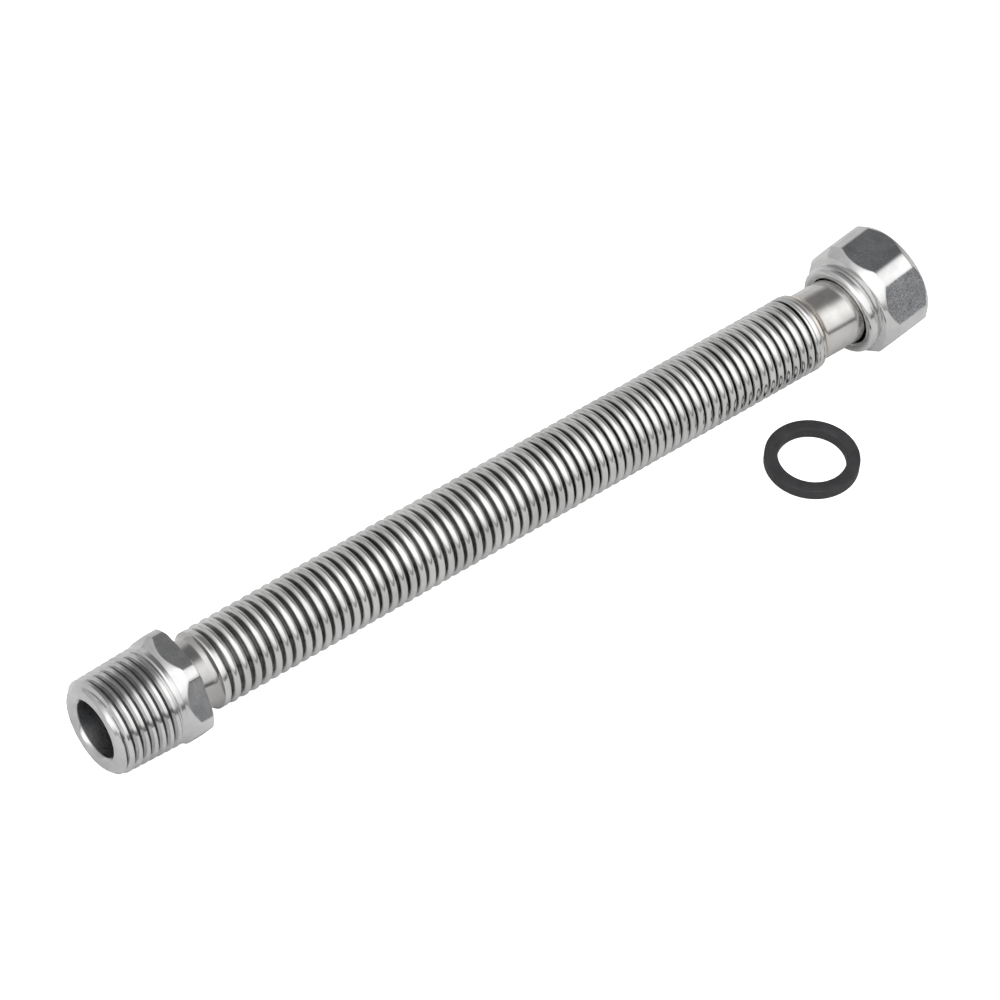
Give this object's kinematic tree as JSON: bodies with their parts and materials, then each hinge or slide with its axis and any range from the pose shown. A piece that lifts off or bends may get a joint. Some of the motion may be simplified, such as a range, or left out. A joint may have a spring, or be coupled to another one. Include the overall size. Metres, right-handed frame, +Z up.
{
  "type": "corrugated gas hose",
  "caption": "Corrugated metal gas hose with a male pipe-thread fitting on one end, a loose swivel nut on the other, and the flat gasket that goes into the nut.",
  "frame": {"origin": "centre of the end face of the male fitting, on the axis of the hose", "axes": "+X along the hose to the swivel nut, +Z up from the table that the hose lies on"},
  "size_m": [0.2069, 0.0459, 0.0247],
  "materials": {
    "turned_steel": "turned, with matte flats",
    "tube_steel": "bright, cold formed",
    "cuff_steel": "bright, with a faint heat tint at the weld",
    "nut_steel": "polished bead, matte flats",
    "gasket_rubber": "matte black"
  },
  "bodies": {
    "hose": {"male_fitting": "turned_steel", "bellows": "tube_steel", "tailpiece": "cuff_steel", "gasket": "gasket_rubber"},
    "nut": {"swivel_nut": "nut_steel"}
  },
  "joints": [
    {"name": "nut_swivel", "type": "hinge", "parent": "hose", "child": "nut", "pos_m": [0.19051, -0.00018, -0.00012], "axis": [0.9942, 0.0908, 0.057], "continuous": true}
  ]
}
